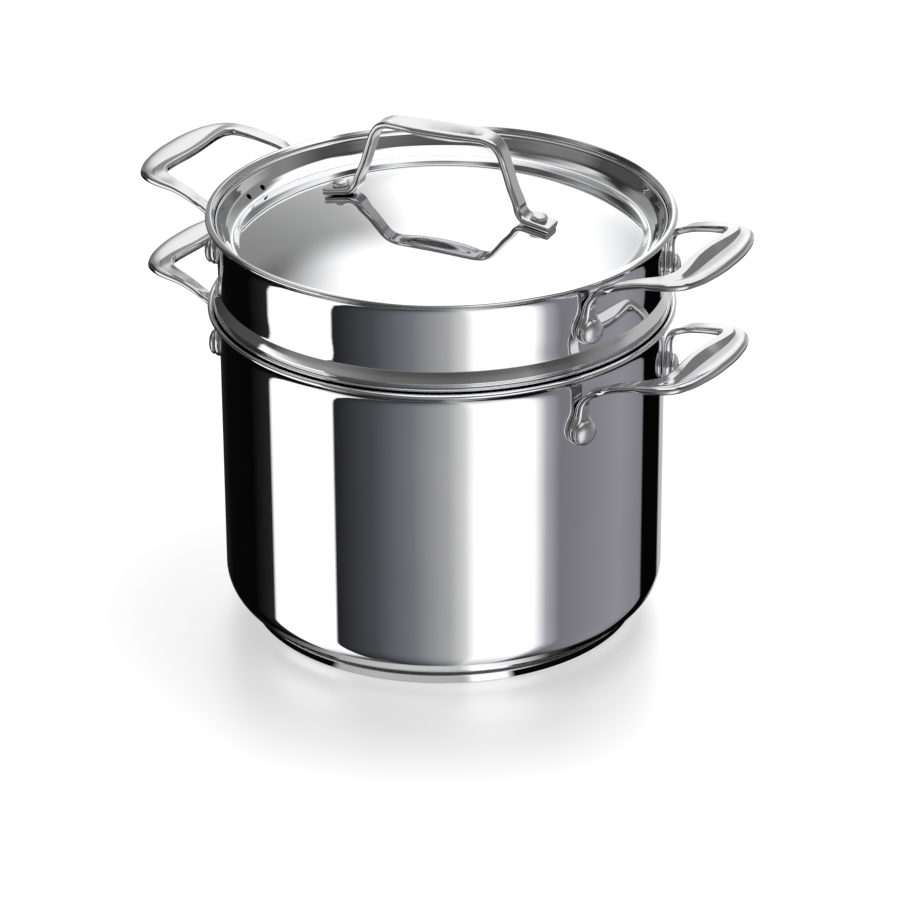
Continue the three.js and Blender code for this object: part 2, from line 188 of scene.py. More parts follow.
def steel(name, light, dark, rough, line_scale, wave, turned=True, grain=0.0, satin_top=0.0):
    """Stainless steel: faint colour drift, polishing lines in the roughness, a slight waviness."""
    m = bpy.data.materials.new(name)
    m.use_nodes = True
    k = Nodes(m.node_tree)
    bsdf = m.node_tree.nodes["Principled BSDF"]
    bsdf.inputs["Metallic"].default_value = 1.0
    if turned:
        plain, lines = turned_coords(k)
    else:
        plain = k.add("ShaderNodeTexCoord").outputs["Object"]
        lines = plain
    drift = k.noise(plain, 22.0, 3.0)
    k.link(k.mix(k.span(drift, 0.3, 0.7, 0.0, 1.0), (*dark, 1.0), (*light, 1.0)), bsdf.inputs["Base Color"])
    streak = k.noise(lines, line_scale, 3.0, 0.6)
    haze = k.noise(plain, 60.0, 2.0)
    r = k.math("ADD", k.span(streak, 0.25, 0.75, rough[0], rough[1]), k.span(haze, 0.4, 0.8, 0.0, 0.012))
    if satin_top:                # faces that look up keep the satin of the casting, the edges are polished
        up_face = k.add("ShaderNodeSeparateXYZ")
        k.link(k.add("ShaderNodeTexCoord").outputs["Normal"], up_face.inputs[0])
        r = k.math("ADD", r, k.span(up_face.outputs[2], 0.60, 0.86, 0.0, satin_top, True))
    k.link(r, bsdf.inputs["Roughness"])
    bump = k.add("ShaderNodeBump")
    bump.inputs["Strength"].default_value = 1.0
    bump.inputs["Distance"].default_value = 1.0
    slow = k.math("MULTIPLY", k.noise(plain, 14.0, 1.0), wave)
    if grain:
        slow = k.math("ADD", slow, k.math("MULTIPLY", k.noise(lines, line_scale, 2.0), grain))
    k.link(slow, bump.inputs["Height"])
    k.link(bump.outputs["Normal"], bsdf.inputs["Normal"])
    return m


MAT_POLISHED = steel("polished_steel", (0.80, 0.80, 0.81), (0.76, 0.765, 0.775), (0.018, 0.04), 5200.0, 0.000012)
MAT_BRUSHED = steel("brushed_inside", (0.74, 0.74, 0.745), (0.68, 0.68, 0.69), (0.16, 0.30), 5200.0, 0.00002, grain=0.0000016)
MAT_CAST = steel("cast_steel", (0.65, 0.645, 0.655), (0.58, 0.575, 0.585), (0.07, 0.11), 900.0, 0.00003, turned=False, satin_top=0.06)
MAT_SATIN = steel("satin_steel", (0.70, 0.695, 0.70), (0.60, 0.595, 0.60), (0.26, 0.36), 1600.0, 0.00002, turned=False)
MAT_ALU = steel("aluminium_core", (0.72, 0.73, 0.74), (0.64, 0.65, 0.66), (0.34, 0.46), 3000.0, 0.00002, grain=0.000002)


# ------------------------------------------------------------------ mesh helpers
def to_object(name, verts, faces, mats, zones=None, sharp=None):
    me = bpy.data.meshes.new(name)
    me.from_pydata([tuple(float(c) * MM for c in v) for v in verts], [], [tuple(int(i) for i in f) for f in faces])
    for m in mats:
        me.materials.append(m)
    if zones is not None:
        me.polygons.foreach_set("material_index", np.asarray(zones, np.int32))
    me.polygons.foreach_set("use_smooth", np.ones(len(me.polygons), bool))
    me.update()
    ob = bpy.data.objects.new(name, me)
    bpy.context.scene.collection.objects.link(ob)
    bm = bmesh.new()
    bm.from_mesh(me)
    bmesh.ops.remove_doubles(bm, verts=bm.verts, dist=2e-6)
    bmesh.ops.recalc_face_normals(bm, faces=bm.faces)
    if bm.calc_volume(signed=True) < 0:
        bmesh.ops.reverse_faces(bm, faces=bm.faces)
    if sharp:
        for e in bm.edges:
            if len(e.link_faces) == 2 and e.link_faces[0].normal.angle(e.link_faces[1].normal, 0.0) > sharp:
                e.smooth = False
    bm.to_mesh(me)
    bm.free()
    me.update()
    return ob


def finish_piece(ob, body, node):
    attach(ob, body)
    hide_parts(node)
    return ob


def arc(cx, cz, r, a0, a1, n):
    return [(cx + r * math.cos(rad(a0 + (a1 - a0) * i / n)), cz + r * math.sin(rad(a0 + (a1 - a0) * i / n))) for i in range(n + 1)]


def line(p, q, n):
    """Points from p to q, closer together at both ends so that the shading of the curves beside it stays local."""
    out = []
    for i in range(n + 1):
        t = i / n
        s = 0.5 - 0.5 * math.cos(math.pi * t)
        s = 0.65 * s + 0.35 * (0.5 - 0.5 * math.cos(math.pi * s))
        out.append((p[0] + (q[0] - p[0]) * s, p[1] + (q[1] - p[1]) * s))
    return out


def spline(t, knots, values):
    K = np.asarray(knots, float)
    Y = np.asarray(values, float)
    if Y.ndim == 1:
        Y = Y[:, None]
    n = len(K)
    M = np.zeros_like(Y)
    for i in range(n):
        if i == 0:
            M[i] = (Y[1] - Y[0]) / (K[1] - K[0])
        elif i == n - 1:
            M[i] = (Y[-1] - Y[-2]) / (K[-1] - K[-2])
        else:
            h0, h1 = K[i] - K[i - 1], K[i + 1] - K[i]
            M[i] = ((Y[i] - Y[i - 1]) / h0 * h1 + (Y[i + 1] - Y[i]) / h1 * h0) / (h0 + h1)
    t = np.atleast_1d(np.asarray(t, float))
    i = np.clip(np.searchsorted(K, t, side="right") - 1, 0, n - 2)
    h = (K[i + 1] - K[i])[:, None]
    u = (t - K[i])[:, None] / h
    return ((2 * u**3 - 3 * u**2 + 1) * Y[i] + (u**3 - 2 * u**2 + u) * h * M[i]
            + (-2 * u**3 + 3 * u**2) * Y[i + 1] + (u**3 - u**2) * h * M[i + 1])


def curve(points, n):
    """n + 1 points on a smooth line through the given profile points."""
    P = np.asarray(points, float)
    k = np.concatenate([[0], np.cumsum(np.linalg.norm(np.diff(P, axis=0), axis=1))])
    return [tuple(p) for p in spline(np.linspace(0, k[-1], n + 1), k, P)]


def thin(points):
    """The same profile without repeated points."""
    out = [points[0]]
    for p in points[1:]:
        if math.hypot(p[0] - out[-1][0], p[1] - out[-1][1]) > 1e-4:
            out.append(p)
    return out


def turn(profile, zones=None, seg=SEG):
    """Vertices, faces and zones of a turned piece. A profile starts and ends on the axis, or is left open there."""
    verts, faces, zone, rows = [], [], [], []
    for r, z in profile:
        if r < 1e-6:
            rows.append([len(verts)])
            verts.append((0.0, 0.0, z))
        else:
            rows.append(list(range(len(verts), len(verts) + seg)))
            for j in range(seg):
                t = 2 * math.pi * j / seg
                verts.append((r * math.cos(t), r * math.sin(t), z))
    for i in range(len(rows) - 1):
        p, q = rows[i], rows[i + 1]
        for j in range(seg):
            j2 = (j + 1) % seg
            if len(p) == 1 and len(q) == 1:
                continue
            if len(p) == 1:
                faces.append((p[0], q[j], q[j2]))
            elif len(q) == 1:
                faces.append((p[j], q[0], p[j2]))
            else:
                faces.append((p[j], q[j], q[j2], p[j2]))
            zone.append(zones[i] if zones else 0)
    return verts, faces, zone


INSERT_FLARE_OUT = [(110.0, 197.5), (110.0, 199.5), (110.04, 201.5), (110.16, 203.2), (110.5, 204.7), (111.2, 206.0), (112.3, 207.0), (113.6, 207.75), (114.7, 208.3),
                    (115.3, 208.75), (115.5, 209.25), (115.3, 209.75), (114.75, 210.2), (114.0, 210.52), (113.3, 210.68), (112.8, 210.7)]
INSERT_FLARE_IN = [(112.8, 210.7), (112.5, 210.55), (112.0, 210.0), (111.5, 209.4), (111.02, 208.8), (110.9, 208.3), (110.85, 207.5), (110.55, 206.5), (110.1, 205.2), (109.5, 203.5),
                   (109.0, 201.4), (108.85, 199.5), (108.8, 197.5)]
POT_FLARE_OUT = [(110.0, 152.5), (110.03, 154.0), (110.15, 155.5), (110.45, 156.9), (111.05, 158.3), (112.0, 159.6), (113.1, 160.4), (114.1, 160.9), (114.9, 161.25),
                 (115.4, 161.65), (115.55, 162.15), (115.4, 162.75), (115.0, 163.25), (114.4, 163.55), (113.7, 163.5)]
POT_FLARE_IN = [(113.7, 163.5), (112.9, 163.1), (112.0, 162.5), (111.0, 161.9), (110.2, 160.9), (109.5, 159.6), (109.05, 158.2), (108.85, 156.8), (108.8, 155.0), (108.8, 152.5)]


# ------------------------------------------------------------------ pot body and base
cz, cx = POT_FLOOR_Z + CORNER_R, BODY_R - CORNER_R
outer = line((0, POT_FLOOR_Z), (cx, POT_FLOOR_Z), 8)[:-1] + arc(cx, cz, CORNER_R, -90, 0, 26)[:-1]
outer += line((BODY_R, cz), POT_FLARE_OUT[0], 14)[:-1] + curve(POT_FLARE_OUT, 60)[:-1]
inner = curve(POT_FLARE_IN, 36)[:-1] + line(POT_FLARE_IN[-1], (BODY_R - SHEET, cz), 12)[:-1]
inner += arc(cx, cz, CORNER_R - SHEET, 0, -90, 24)[:-1] + line((cx, POT_FLOOR_Z + SHEET), (0, POT_FLOOR_Z + SHEET), 8)
prof = outer + inner
zones = [0] * (len(outer) + 34) + [1] * (len(prof) - len(outer) - 34)
v, f, zn = turn(prof, zones)
pot_body = finish_piece(to_object("pot_body_polished", v, f, [MAT_POLISHED, MAT_BRUSHED], zn), "pot", "pot_body")

prof = thin(line((0, 1.4), (95.4, 1.4), 6) + arc(95.4, 1.8, 0.4, -90, 0, 4) + arc(95.4, 5.6, 0.4, 0, 90, 4) + line((95.4, 6.0), (0, 6.0), 6))
v, f, zn = turn(prof)
finish_piece(to_object("base_core_disc", v, f, [MAT_ALU], zn), "pot", "base_core")

prof = thin(line((0, 0), (CAP_R - 1.9, 0), 8) + curve([(CAP_R - 1.9, 0), (CAP_R - 1.4, 0.12), (CAP_R - 1.05, 0.45)], 8)
            + line((CAP_R - 1.05, 0.45), (CAP_R + 0.45, CAP_H - 0.5), 8) + curve([(CAP_R + 0.45, CAP_H - 0.5), (CAP_R + 0.4, CAP_H - 0.1), (CAP_R, CAP_H), (CAP_R - 0.6, CAP_H - 0.1)], 12)
            + [(CAP_R - 1.0, CAP_H - 0.8), (CAP_R - 2.1, 1.2), (CAP_R - 2.3, 1.0)] + line((CAP_R - 2.3, 1.0), (0, 1.0), 6))
v, f, zn = turn(prof)
finish_piece(to_object("base_cap_cup", v, f, [MAT_POLISHED], zn, sharp=rad(60)), "pot", "base_cap")


# ------------------------------------------------------------------ straps
def strap_section(A, B, N, t, dish, crease, round_a, round_b, m, under):
    """A closed section of a strap from edge A to edge B. The dish is steep beside the crease and shallow towards B.
    Each edge has its own rounding at the top face and is rolled under towards the lower one."""
    E = B - A
    L = np.linalg.norm(E)
    E = E / L
    N = N - E * (N @ E)
    N = N / np.linalg.norm(N)
    h = t / 2
    ra, rb = min(round_a * t, L * 0.42), min(round_b * t, L * 0.42)
    rx = min(under * t, L / 2 * 0.98)
    c = min(max(crease, 0.03), 0.9)
    end = 0.96
    valley = c + 0.33 * (end - c)
    a, b, g = m // 5, m // 4, m // 9
    s = np.concatenate([np.linspace(0, c, a, endpoint=False), np.linspace(c, valley, b, endpoint=False),
                        np.linspace(valley, end, m - a - b - g, endpoint=False), np.linspace(end, 1, g)])
    x = ra + s * (L - ra - rb)
    steep = np.clip((s - c) / (valley - c), 0, 1)
    shallow = np.clip((s - valley) / (end - valley), 0, 1)
    dip = -dish * steep * (1 - shallow) ** 1.2
    top = A + E * x[:, None] + N * (h + dip)[:, None]
    q = np.clip((s - 0.04) / 0.92, 0, 1)
    x = rx + s * (L - 2 * rx)
    sag = -0.9 * dish * np.sin(np.pi * q) ** 2
    bottom = (A + E * x[:, None] + N * (-h + sag)[:, None])[::-1]

    def edge(r):
        pts = [(r * (1 - math.cos(d)), h - r + r * math.sin(d)) for d in np.linspace(math.pi / 2, 0, 9)[1:]]
        return pts + [(rx * (1 - math.cos(d)), h - r - (2 * h - r) * math.sin(d)) for d in np.linspace(0, math.pi / 2, 10)[1:-1]]

    e1 = [A + E * (L - i) + N * z for i, z in edge(rb)]
    e2 = [A + E * i + N * z for i, z in edge(ra)[::-1]]
    return np.concatenate([top, e1, bottom, e2])


def strap(stations, steps, axis, under, m=45):
    A = np.array([s[0] for s in stations], float)
    B = np.array([s[1] for s in stations], float)
    N = np.array([s[2] for s in stations], float)
    T = np.array([s[3] for s in stations], float)
    D = np.array([s[4] for s in stations], float)
    C = np.array([s[5] for s in stations], float)
    R = np.array([s[6] if len(s) > 6 else (0.26, 0.26) for s in stations], float)
    mid = (A + B) / 2
    k = np.concatenate([[0], np.cumsum(np.linalg.norm(np.diff(mid, axis=0), axis=1))])
    t = np.linspace(0, k[-1], steps + 1)
    A, B, N = spline(t, k, A), spline(t, k, B), spline(t, k, N)
    T, D, C = spline(t, k, T)[:, 0], np.maximum(spline(t, k, D)[:, 0], 0), spline(t, k, C)[:, 0]
    R = np.clip(spline(t, k, R), 0.1, 0.6)
    secs = np.array([strap_section(A[i], B[i], N[i], max(T[i], 0.05), D[i], C[i], R[i, 0], R[i, 1], m, under) for i in range(steps + 1)])
    back = secs[::-1][1:].copy()
    back[:, :, axis] *= -1
    secs = np.concatenate([secs, back])
    n, c = secs.shape[:2]
    verts = [tuple(p) for p in secs.reshape(-1, 3)]
    faces = []
    for i in range(n - 1):
        for j in range(c):
            p, q = i * c + j, i * c + (j + 1) % c
            faces.append((p, q, q + c, p + c))
    for i in (0, n - 1):
        centre = len(verts)
        verts.append(tuple(secs[i].mean(0)))
        for j in range(c):
            faces.append((centre, i * c + (j + 1) % c, i * c + j))
    return verts, faces


def lug_point(p, q):
    b = rad(LUG_ANGLE)
    return np.array([LUG_MID_R * math.cos(b) - p * math.sin(b), LUG_MID_R * math.sin(b) + p * math.cos(b), q])


def side_handle():
    b = rad(LUG_ANGLE)
    S = []
    inward = np.array([-math.cos(b), -math.sin(b), 0.0])
    for q, w, t in [(-7.1, 0.7, 0.9), (-6.95, 1.75, 2.0), (-6.5, 3.1, 2.9), (-5.8, 4.4, 3.6), (-4.8, 5.5, 4.0), (-2.5, 6.9, 4.0), (0, 7.3, 4.0),
                    (2.6, 6.8, 4.0), (5.4, 5.4, 4.0), (8.0, 4.2, 3.9), (10.5, 3.6, 3.7)]:
        S.append((lug_point(-w, q), lug_point(w, q), inward, t, 0.0, 0.5))
    c0, d = lug_point(0, 10.5), np.array([0.955, -0.297])
    for deg, w in [(20, 3.4), (38, 3.3), (56, 3.3), (74, 3.45)]:
        th, f = rad(deg), deg / 74
        ac = np.array([-math.sin(b) * (1 - f) + 0.25 * f, math.cos(b) * (1 - f) + 0.968 * f])
        ac /= np.linalg.norm(ac)
        c = np.array([*(c0[:2] + d * 10.0 * (1 - math.cos(th))), c0[2] + 11.0 * math.sin(th)])
        p, q = c.copy(), c.copy()
        p[:2] -= ac * w
        q[:2] += ac * w
        S.append((p, q, np.array([-math.cos(th) * d[0], -math.cos(th) * d[1], math.sin(th)]), 3.5, 0.0, 0.5, (0.34 + 0.16 * f, 0.34 + 0.16 * f)))
    for inner_e, outer_e, t, dish, crease, ra, rb in [
        ((114.9, 37.4, 23.1), (115.6, 44.9, 23.6), 3.3, 0, 0.5, 0.5, 0.5),
        ((121.2, 35.9, 25.3), (121.2, 44.5, 25.6), 3.2, 0, 0.5, 0.5, 0.5),
        ((128.2, 34.4, 27.2), (128.2, 43.8, 27.2), 3.4, 0, 0.55, 0.5, 0.5),
        ((134.4, 33.1, 28.6), (136.0, 43.2, 27.9), 4.0, 0, 0.7, 0.46, 0.52),
        ((137.8, 31.6, 29.4), (143.3, 41.5, 28.4), 4.6, 0.0, 0.7, 0.4, 0.54),
        ((139.6, 28.5, 29.8), (149.3, 37.8, 28.7), 4.8, 0.7, 0.5, 0.34, 0.55),
        ((140.0, 22.9, 30.0), (154.2, 29.4, 29.0), 4.9, 1.6, 0.32, 0.3, 0.55),
        ((139.6, 14.9, 30.1), (157.1, 18.2, 29.3), 4.9, 2.4, 0.2, 0.28, 0.55),
        ((139.1, 7.2, 30.1), (158.3, 8.6, 29.4), 4.9, 2.8, 0.14, 0.27, 0.55),
        ((138.9, 0.0, 30.1), (158.5, 0.0, 29.4), 4.9, 2.9, 0.13, 0.27, 0.55),
    ]:
        S.append((np.array(inner_e), np.array(outer_e), np.array([-0.05, 0, 1.0] if dish > 0.2 else [-0.25, 0, 1.0]), t, dish, crease, (ra, rb)))
    return strap(S, 130, 1, 0.62)


def moved(verts, deg, z):
    c, s = math.cos(rad(deg)), math.sin(rad(deg))
    return [(x * c - y * s, x * s + y * c, h + z) for x, y, h in verts]


HV, HF = side_handle()
for prefix, z, turn_deg in (("pot", POT_RIVET_Z, 0.0), ("insert", INSERT_RIVET_Z, INSERT_TURN)):
    for side, deg in (("right", 0.0), ("left", 180.0)):
        ob = to_object(f"{prefix}_grip_{side}", moved(HV, deg + turn_deg, z), HF, [MAT_CAST], sharp=rad(24))
        finish_piece(ob, prefix, f"{prefix}_handle_{side}")


# ------------------------------------------------------------------ rivets
def two_heads(outer_prof, inner_prof, seg=64):
    v1, f1, _ = turn(outer_prof, seg=seg)
    v2, f2, _ = turn(inner_prof, seg=seg)
    n = len(v1)
    return v1 + v2, f1 + [tuple(i + n for i in f) for f in f2]


def along(verts, point, direction):
    q = Vector((0, 0, 1)).rotation_difference(Vector(direction))
    return [tuple(q @ Vector(v) + Vector(point)) for v in verts]


lug_face = LUG_MID_R + STRAP_T / 2 + 0.04
wall_face = BODY_R - SHEET - 0.2
head = thin([(0, lug_face), (3, lug_face), (6.0, lug_face)] + arc(6.0, lug_face + 0.4, 0.4, -90, 20, 5)
            + curve([(6.376, lug_face + 0.54), (6.1, lug_face + 1.15), (5.1, lug_face + 2.05), (3.2, lug_face + 2.85), (1.4, lug_face + 3.18), (0, lug_face + 3.24)], 22))
under = thin([(0, wall_face - 1.6), (3.6, wall_face - 1.6)] + arc(4.2, wall_face - 0.8, 0.8, -90, 0, 6) + [(5.0, wall_face - 0.1), (4.6, wall_face), (0, wall_face)])
RV, RF = two_heads(head, under)
LUGS = [("right_front", -LUG_ANGLE), ("right_back", LUG_ANGLE), ("left_back", 180 - LUG_ANGLE), ("left_front", 180 + LUG_ANGLE)]
for prefix, z, turn_deg in (("pot", POT_RIVET_Z, 0.0), ("insert", INSERT_RIVET_Z, INSERT_TURN)):
    for name, deg in LUGS:
        t = rad(deg + turn_deg)
        ob = to_object(f"{prefix}_rivet_head_{name}", along(RV, (0, 0, z), (math.cos(t), math.sin(t), 0)), RF, [MAT_SATIN])
        finish_piece(ob, prefix, f"{prefix}_rivet_{name}")

# ------------------------------------------------------------------ insert
HOLE_R = 1.6
ROWS, COLS, CELL_H, ROW_Z = 6, 36, 14.0, 56.0
bx, bz = BASKET_R - BASKET_CORNER_R, BASKET_FLOOR_Z + BASKET_CORNER_R
bead_out = [(BASKET_R, 151.0), (103.55, 153.4), (103.95, 155.6), (105.4, 158.2), (107.4, 160.2), (109.2, 161.4), (110.8, 162.5), (112.0, 163.5),
            (112.6, 164.2), (112.8, 164.7), (112.6, 165.15), (112.0, 165.4), (111.0, 165.6), (110.2, 165.85), (109.8, 166.3), (110.0, 166.8), (110.7, 167.1), (111.5, 167.3),
            (111.98, 167.48), (112.14, 167.78), (112.07, 168.1), (111.87, 168.65), (111.51, 169.6), (111.09, 170.65), (110.6, 171.7), (110.1, 172.7), (109.92, 173.05),
            (109.82, 173.45), (109.8, 174.2), (109.82, 176.0), (109.9, 179.0), (109.97, 182.0), (110.0, 185.0)]
bead_in = [(108.8, 185.0), (108.75, 181.0), (108.6, 177.0), (108.6, 174.5), (108.9, 172.2), (109.3, 170.2), (109.35, 168.0),
           (109.0, 165.8), (108.3, 163.9), (107.2, 162.2), (106.0, 160.8), (104.4, 159.0), (102.75, 155.8), (102.35, 153.4), (102.3, 151.0)]
band_lo, band_hi = ROW_Z, ROW_Z + ROWS * CELL_H
upper_out = line((BASKET_R, band_hi), (BASKET_R, 151.0), 4)[:-1] + curve(bead_out, 260)[:-1] + line((BODY_R, 185.0), INSERT_FLARE_OUT[0], 6)[:-1] + curve(INSERT_FLARE_OUT, 60)[:-1]
upper_in = curve(INSERT_FLARE_IN, 44)[:-1] + line(INSERT_FLARE_IN[-1], (BODY_R - SHEET, 185.0), 6)[:-1] + curve(bead_in, 80)[:-1] + line((BASKET_R - SHEET, 151.0), (BASKET_R - SHEET, band_hi), 4)
prof = thin(upper_out + upper_in)
n_out = len(thin(upper_out))
V, F, Z = turn(prof, [0] * (n_out + 34) + [1] * (len(prof) - n_out - 34))
lower_out = thin(arc(bx, bz, BASKET_CORNER_R, -90, 0, 18) + [(BASKET_R, band_lo)])
lower_in = thin([(BASKET_R - SHEET, band_lo)] + arc(bx, bz, BASKET_CORNER_R - SHEET, 0, -90, 18))
for prof_part, zone_part in ((lower_out, 0), (lower_in, 1)):
    v, f, _ = turn(prof_part)
    F += [tuple(i + len(V) for i in q) for q in f]
    Z += [zone_part] * len(f)
    V += v


def holed_cell(border, centre, radius, place_out, place_in):
    """A patch with a round hole: border is a closed list of flat points around the centre."""
    base = len(V)
    n = len(border)
    ring = []
    for p in border:
        d = math.hypot(p[0] - centre[0], p[1] - centre[1])
        ring.append((centre[0] + (p[0] - centre[0]) / d * radius, centre[1] + (p[1] - centre[1]) / d * radius))
    for place in (place_out, place_in):
        V.extend(place(p) for p in border)
        V.extend(place(p) for p in ring)
    o_b, o_r, i_b, i_r = base, base + n, base + 2 * n, base + 3 * n
    for j in range(n):
        j2 = (j + 1) % n
        F.append((o_b + j, o_b + j2, o_r + j2, o_r + j))
        F.append((i_b + j, i_r + j, i_r + j2, i_b + j2))
        F.append((o_r + j, o_r + j2, i_r + j2, i_r + j))
        Z.extend((0, 1, 0))


PER = SEG // COLS


def on_wall(r):
    return lambda p: (r * math.cos(p[0] / BASKET_R), r * math.sin(p[0] / BASKET_R), p[1])


step = 2 * math.pi / SEG
for row in range(ROWS):
    z0, z1 = ROW_Z + row * CELL_H, ROW_Z + (row + 1) * CELL_H
    off = (PER // 2) * (row % 2)
    for c in range(COLS):
        g0 = c * PER + off
        xs = [(g0 + i) * step * BASKET_R for i in range(PER + 1)]
        zs = [z0 + (z1 - z0) * i / PER for i in range(PER + 1)]
        border = [(x, z0) for x in xs[:-1]] + [(xs[-1], z) for z in zs[:-1]] + [(x, z1) for x in xs[::-1][:-1]] + [(xs[0], z) for z in zs[::-1][:-1]]
        holed_cell(border, ((xs[0] + xs[-1]) / 2, (z0 + z1) / 2), HOLE_R, on_wall(BASKET_R), on_wall(BASKET_R - SHEET))

at_floor = [lambda p: (p[0], p[1], BASKET_FLOOR_Z), lambda p: (p[0], p[1], BASKET_FLOOR_Z + SHEET)]
polar = lambda r, g: (r * math.cos(g * step), r * math.sin(g * step))
RINGS = [(8.0, 22.0, 6), (22.0, 36.0, 12), (36.0, 50.0, 18), (50.0, 64.0, 24), (64.0, 78.0, 36), (78.0, bx, 36)]
holed_cell([polar(8.0, g) for g in range(0, SEG, 4)], (0, 0), HOLE_R, at_floor[0], at_floor[1])
for i, (r0, r1, count) in enumerate(RINGS):
    per = SEG // count
    for c in range(count):
        g0 = c * per + (per // 2) * (i % 2)
        inner_step = 4 if r0 == 8.0 else 1
        gi = list(range(g0, g0 + per + 1, inner_step))
        go = list(range(g0, g0 + per + 1))
        border = [polar(r0, g) for g in gi[:-1]] + [polar(r0 + (r1 - r0) * s / 8, g0 + per) for s in range(8)]
        border += [polar(r1, g) for g in go[::-1][:-1]] + [polar(r0 + (r1 - r0) * s / 8, g0) for s in range(8, 0, -1)]
        holed_cell(border, polar((r0 + r1) / 2, g0 + per / 2), HOLE_R, at_floor[0], at_floor[1])
insert = to_object("insert_shell_polished", V, F, [MAT_POLISHED, MAT_BRUSHED], Z, sharp=rad(50))
# the perforated wall's corners take the cylinder's own normals, so that the steel reflects evenly between the holes
me = insert.data
co = np.empty(len(me.vertices) * 3, np.float32)
me.vertices.foreach_get("co", co)
at = np.empty(len(me.loops), np.int32)
me.loops.foreach_get("vertex_index", at)
size = np.empty(len(me.polygons), np.int32)
me.polygons.foreach_get("loop_total", size)
facing = np.empty(len(me.polygons) * 3, np.float32)
me.polygons.foreach_get("normal", facing)
corner = np.empty(len(me.loops) * 3, np.float32)
me.corner_normals.foreach_get("vector", corner)
co, facing, corner = co.reshape(-1, 3)[at], np.repeat(facing.reshape(-1, 3), size, axis=0), corner.reshape(-1, 3)
outward = co * np.array([1, 1, 0], np.float32)
outward /= np.maximum(np.linalg.norm(outward, axis=1, keepdims=True), 1e-9)
side = (facing * outward).sum(axis=1)
wall = (np.abs(side) > 0.97) & (co[:, 2] > (band_lo - 0.01) * MM) & (co[:, 2] < (band_hi + 0.01) * MM)
corner[wall] = outward[wall] * np.sign(side[wall])[:, None]
me.normals_split_custom_set(corner.tolist())
finish_piece(insert, "insert", "insert_shell")


# ------------------------------------------------------------------ lid
def dome(r):
    return LID_TOP_Z - r * r / (2 * LID_DOME_R)


def dome_line(r0, r1, n, drop):
    return [(r0 + (r1 - r0) * i / n, dome(r0 + (r1 - r0) * i / n) - drop) for i in range(n + 1)]


chan_top = [(97.0, dome(97.0)), (99.0, dome(99.0)), (100.6, 197.95), (101.9, 197.6), (103.0, 197.9), (104.2, 198.75), (105.4, 199.85), (106.4, 200.85),
            (107.0, 201.7), (107.55, 202.8), (108.2, 204.2), (108.9, 205.7), (109.35, 206.7), (109.85, 207.4)]
chan_under = [(110.2, 206.85), (109.85, 206.4), (109.5, 205.5), (108.95, 204.1), (108.45, 202.8), (108.0, 201.7), (107.3, 200.5), (106.0, 199.1), (104.7, 197.9),
              (103.4, 196.95), (101.9, 196.55), (100.5, 196.9), (99.0, dome(99.0) - LID_SHEET), (97.0, dome(97.0) - LID_SHEET)]
edge = curve([(109.85, 207.4), (110.15, 207.55), (110.4, 207.4), (110.42, 207.1), (110.2, 206.85)], 10)
top = dome_line(0.0, 97.0, 40, 0.0)[:-1] + curve(chan_top, 70)[:-1] + edge[:-1]
low = curve(chan_under, 60)[:-1] + dome_line(97.0, 0.0, 30, LID_SHEET)
prof = thin(top + low)
n_top = len(thin(top))
LV, LF, LZ = turn(prof, [0] * n_top + [1] * (len(prof) - n_top))
lid = to_object("lid_disc_polished", LV, LF, [MAT_POLISHED, MAT_BRUSHED], LZ)

# steam vents cut through the channel wall
for i, deg in enumerate((179.2, 186.6)):
    t = rad(deg)
    d = Vector((-0.68 * math.cos(t), -0.68 * math.sin(t), 0.733))
    bm = bmesh.new()
    bmesh.ops.create_cone(bm, cap_ends=True, segments=32, radius1=1.7 * MM, radius2=1.7 * MM, depth=5 * MM)
    me = bpy.data.meshes.new(f"vent_tool_{i}")
    bm.to_mesh(me)
    bm.free()
    tool = bpy.data.objects.new(f"vent_tool_{i}", me)
    bpy.context.scene.collection.objects.link(tool)
    tool.matrix_world = Matrix.Translation(Vector((105.4 * math.cos(t), 105.4 * math.sin(t), 199.5)) * MM) @ Vector((0, 0, 1)).rotation_difference(d).to_matrix().to_4x4()
    bpy.context.view_layer.update()
    mod = lid.modifiers.new("vent", "BOOLEAN")
    mod.operation = "DIFFERENCE"
    mod.solver = "EXACT"
    mod.object = tool
    dg = bpy.context.evaluated_depsgraph_get()
    cut = bpy.data.meshes.new_from_object(lid.evaluated_get(dg))
    lid.modifiers.clear()
    old = lid.data
    lid.data = cut
    bpy.data.meshes.remove(old)
    bpy.data.objects.remove(tool)
bm = bmesh.new()
bm.from_mesh(lid.data)
for e in bm.edges:
    if len(e.link_faces) == 2 and e.link_faces[0].normal.angle(e.link_faces[1].normal, 0.0) > rad(40):
        e.smooth = False
bm.to_mesh(lid.data)
bm.free()
lid.data.name = "lid_disc_polished"
finish_piece(lid, "lid", "lid_disc")


